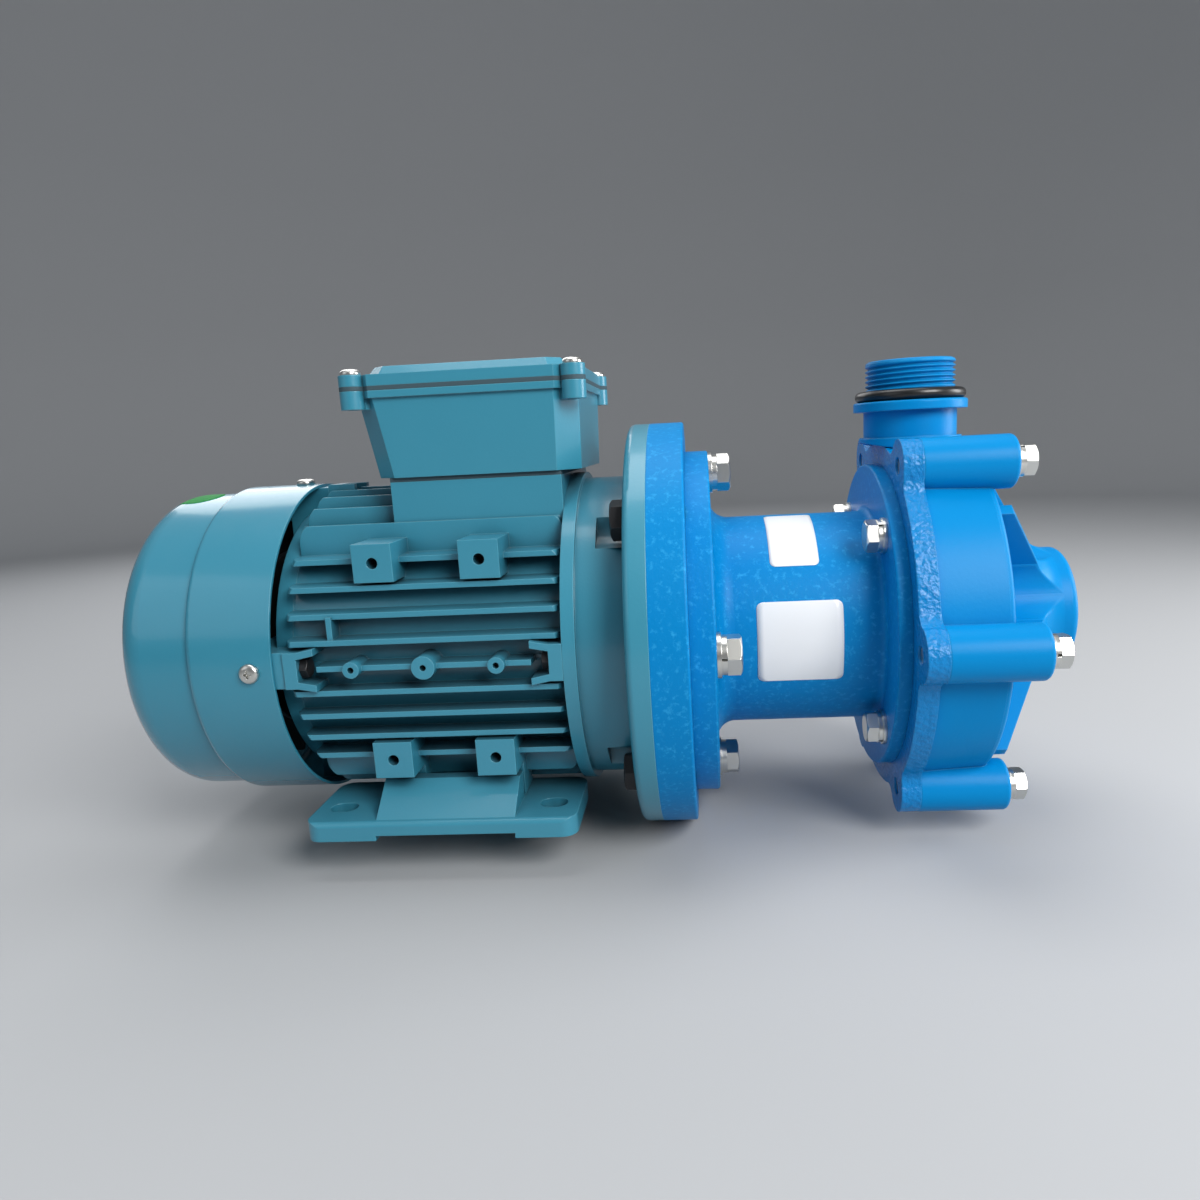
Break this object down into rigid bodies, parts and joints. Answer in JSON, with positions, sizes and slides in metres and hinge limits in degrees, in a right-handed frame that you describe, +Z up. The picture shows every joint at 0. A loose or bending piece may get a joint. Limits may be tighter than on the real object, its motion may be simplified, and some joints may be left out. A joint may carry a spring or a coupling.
{
  "type": "magnetic drive pump",
  "caption": "Close-coupled magnetic drive pump: a finned flange motor on feet turns a sealed impeller through a barrel adapter, with axial suction and a threaded upright discharge.",
  "frame": {"origin": "middle of the foot hole pattern on the foot plane, under the motor shaft", "axes": "+X along the shaft towards the suction port, +Y across the feet away from the pictured side, +Z up"},
  "size_m": [0.443, 0.2, 0.231],
  "materials": {
    "motor_paint": "semi-gloss teal paint on castings and sheet",
    "pump_paint": "semi-gloss bright blue coating",
    "stainless": "bright stainless fasteners",
    "dark_steel": "black oxide steel",
    "steel": "machined steel",
    "copper": "enamelled copper wire",
    "brass": "bare brass",
    "aluminium": "die-cast aluminium",
    "rubber": "black rubber",
    "black_plastic": "moulded black plastic",
    "gasket": "grey sheet gasket",
    "magnet": "nickel-plated magnet",
    "ceramic": "ground ceramic",
    "carbon": "carbon"
  },
  "bodies": {
    "root": {"motor_frame": "motor_paint", "de_endshield": "motor_paint", "nde_endshield": "motor_paint", "fan_cowl": "motor_paint", "front_foot": "motor_paint", "back_foot": "motor_paint", "terminal_box": "motor_paint", "terminal_lid": "motor_paint", "adapter_plate": "pump_paint", "motor_adapter": "pump_paint", "clamp_ring": "pump_paint", "volute_housing": "pump_paint", "cowl_screws": "stainless", "lid_screws": "stainless", "adapter_bolts": "stainless", "adapter_washers": "stainless", "adapter_spring_washers": "stainless", "disc_bolts": "stainless", "housing_bolts": "stainless", "small_washers": "stainless", "small_spring_washers": "stainless", "endshield_screws": "dark_steel", "foot_bolts": "dark_steel", "flange_bolts": "dark_steel", "stator_core": "steel", "bearing_outer_rings": "steel", "box_screws": "steel", "stator_winding": "copper", "terminal_studs": "brass", "shaft_seal": "rubber", "barrier_oring": "rubber", "discharge_oring": "rubber", "terminal_board": "black_plastic", "gland_body": "black_plastic", "gland_nut": "black_plastic", "barrier": "black_plastic", "box_gasket": "gasket", "lid_gasket": "gasket", "pump_shaft": "ceramic", "thrust_rings": "ceramic", "mouth_ring": "ceramic"},
    "drive": {"motor_shaft": "steel", "rotor_core": "steel", "rotor_end_rings": "aluminium", "bearing_inner_rings": "steel", "cooling_fan": "black_plastic", "shaft_key": "steel", "outer_magnet_hub": "dark_steel", "outer_magnets": "magnet", "hub_set_screw": "dark_steel"},
    "wheel": {"rotor_jacket": "black_plastic", "rotor_back_iron": "steel", "inner_magnets": "magnet", "carbon_bush": "carbon", "impeller": "black_plastic"},
    "ball_sets": {"bearing_balls": "stainless", "bearing_cages": "brass"}
  },
  "joints": [
    {"name": "drive_spin", "type": "hinge", "parent": "root", "child": "drive", "pos_m": [0, 0, 0.08], "axis": [1, 0, 0], "continuous": true},
    {"name": "wheel_spin", "type": "hinge", "parent": "root", "child": "wheel", "pos_m": [0.2, 0, 0.08], "axis": [1, 0, 0], "continuous": true},
    {"name": "ball_spin", "type": "hinge", "parent": "root", "child": "ball_sets", "pos_m": [0, 0, 0.08], "axis": [1, 0, 0], "continuous": true}
  ],
  "couplings": [
    {"joint": "wheel_spin", "follows": "drive_spin", "ratio": 1},
    {"joint": "ball_spin", "follows": "drive_spin", "ratio": 0.3866}
  ]
}
